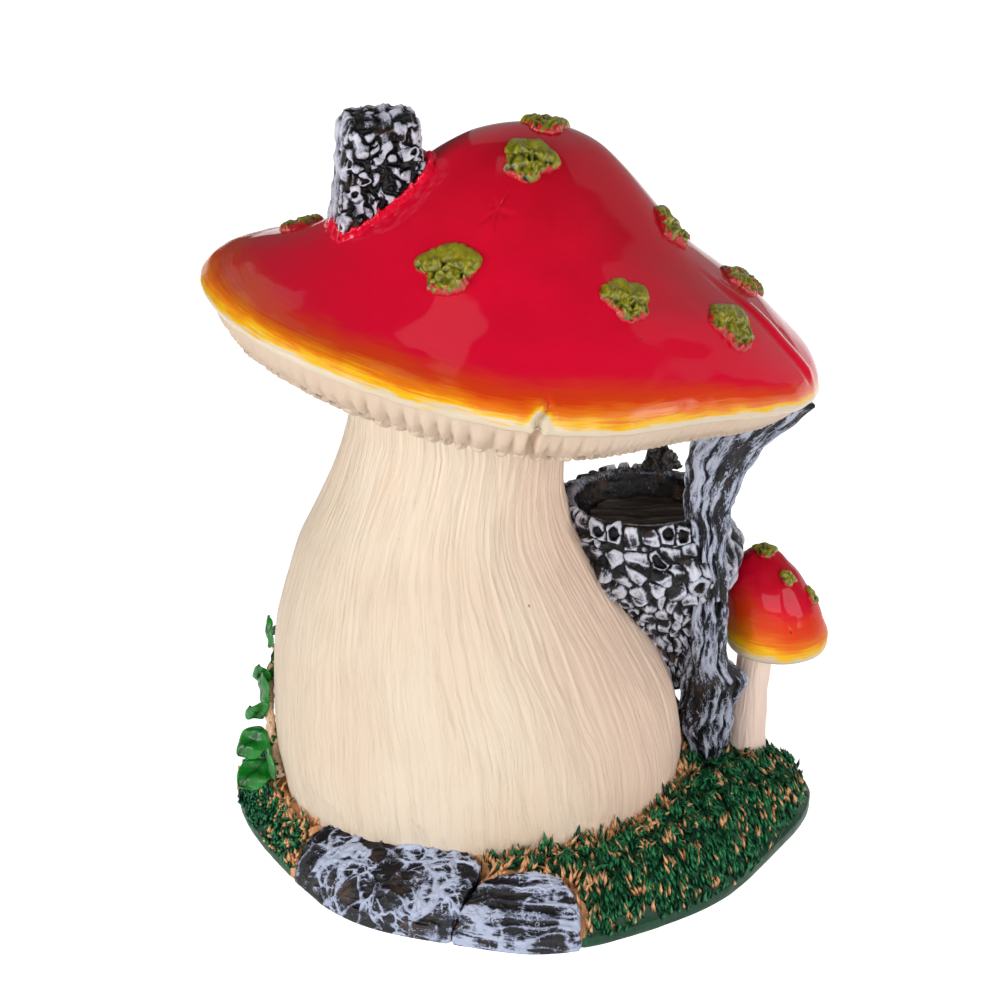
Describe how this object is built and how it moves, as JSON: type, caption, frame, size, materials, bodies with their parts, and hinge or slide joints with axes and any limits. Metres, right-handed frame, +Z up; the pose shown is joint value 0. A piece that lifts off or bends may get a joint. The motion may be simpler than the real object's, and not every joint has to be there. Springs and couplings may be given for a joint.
{
  "type": "mushroom fairy house",
  "caption": "Painted cast garden ornament: a toadstool fairy house with a spotted red cap, stone chimney, balcony held by a tree trunk, and a small toadstool on a grassy base.",
  "frame": {"origin": "centre of the flat underside of the base", "axes": "+Z up; the side with the balcony and the two slate slabs faces -Y, the door faces +Y"},
  "size_m": [0.1614, 0.1421, 0.1973],
  "materials": {
    "turf": "matte, painted",
    "slate": "satin, dry-brushed paint",
    "cream": "matte, painted",
    "gills": "matte, painted",
    "redGloss": "high gloss lacquer",
    "stone": "satin, dry-brushed paint",
    "moss": "satin, painted",
    "darkWood": "satin, painted",
    "bark": "satin, dry-brushed paint",
    "smallStem": "matte, painted",
    "leaf": "gloss, painted",
    "doorWood": "satin, painted",
    "iron": "satin, painted black",
    "brass": "gloss, painted gold",
    "pane": "gloss, painted yellow"
  },
  "bodies": {
    "root": {"cap_gills": "gills", "cap_roof": "redGloss", "chimney_stack": "stone", "chimney_collar": "redGloss", "moss_patch_1": "moss", "moss_patch_2": "moss", "moss_patch_3": "moss", "moss_patch_4": "moss", "moss_patch_5": "moss", "moss_patch_6": "moss", "moss_patch_7": "moss", "moss_patch_8": "moss", "moss_patch_9": "moss", "moss_patch_10": "moss", "moss_patch_11": "moss", "moss_patch_12": "moss", "moss_patch_13": "moss", "moss_patch_14": "moss", "moss_patch_15": "moss", "ground_mound": "turf", "front_slab_left": "slate", "front_slab_right": "slate", "door_step": "slate", "path_stone_1": "slate", "path_stone_2": "slate", "stem": "cream", "door_leaf": "doorWood", "door_surround": "stone", "door_strap_lower": "iron", "door_strap_upper": "iron", "door_knob": "brass", "window_frame": "doorWood", "window_pane": "pane", "window_bars": "doorWood", "balcony_wall": "stone", "balcony_deck": "darkWood", "balcony_stub": "darkWood", "tree_post": "bark", "small_mushroom_stem": "smallStem", "small_mushroom_cap": "redGloss", "small_moss_1": "moss", "small_moss_2": "moss", "small_moss_3": "moss", "small_moss_4": "moss", "ivy_vine": "leaf", "ivy_leaf_1": "leaf", "ivy_leaf_2": "leaf", "ivy_leaf_3": "leaf", "ivy_leaf_4": "leaf", "ivy_leaf_5": "leaf", "ivy_leaf_6": "leaf", "ivy_leaf_7": "leaf", "ivy_leaf_8": "leaf", "ivy_leaf_9": "leaf", "ivy_leaf_10": "leaf"}
  },
  "joints": []
}
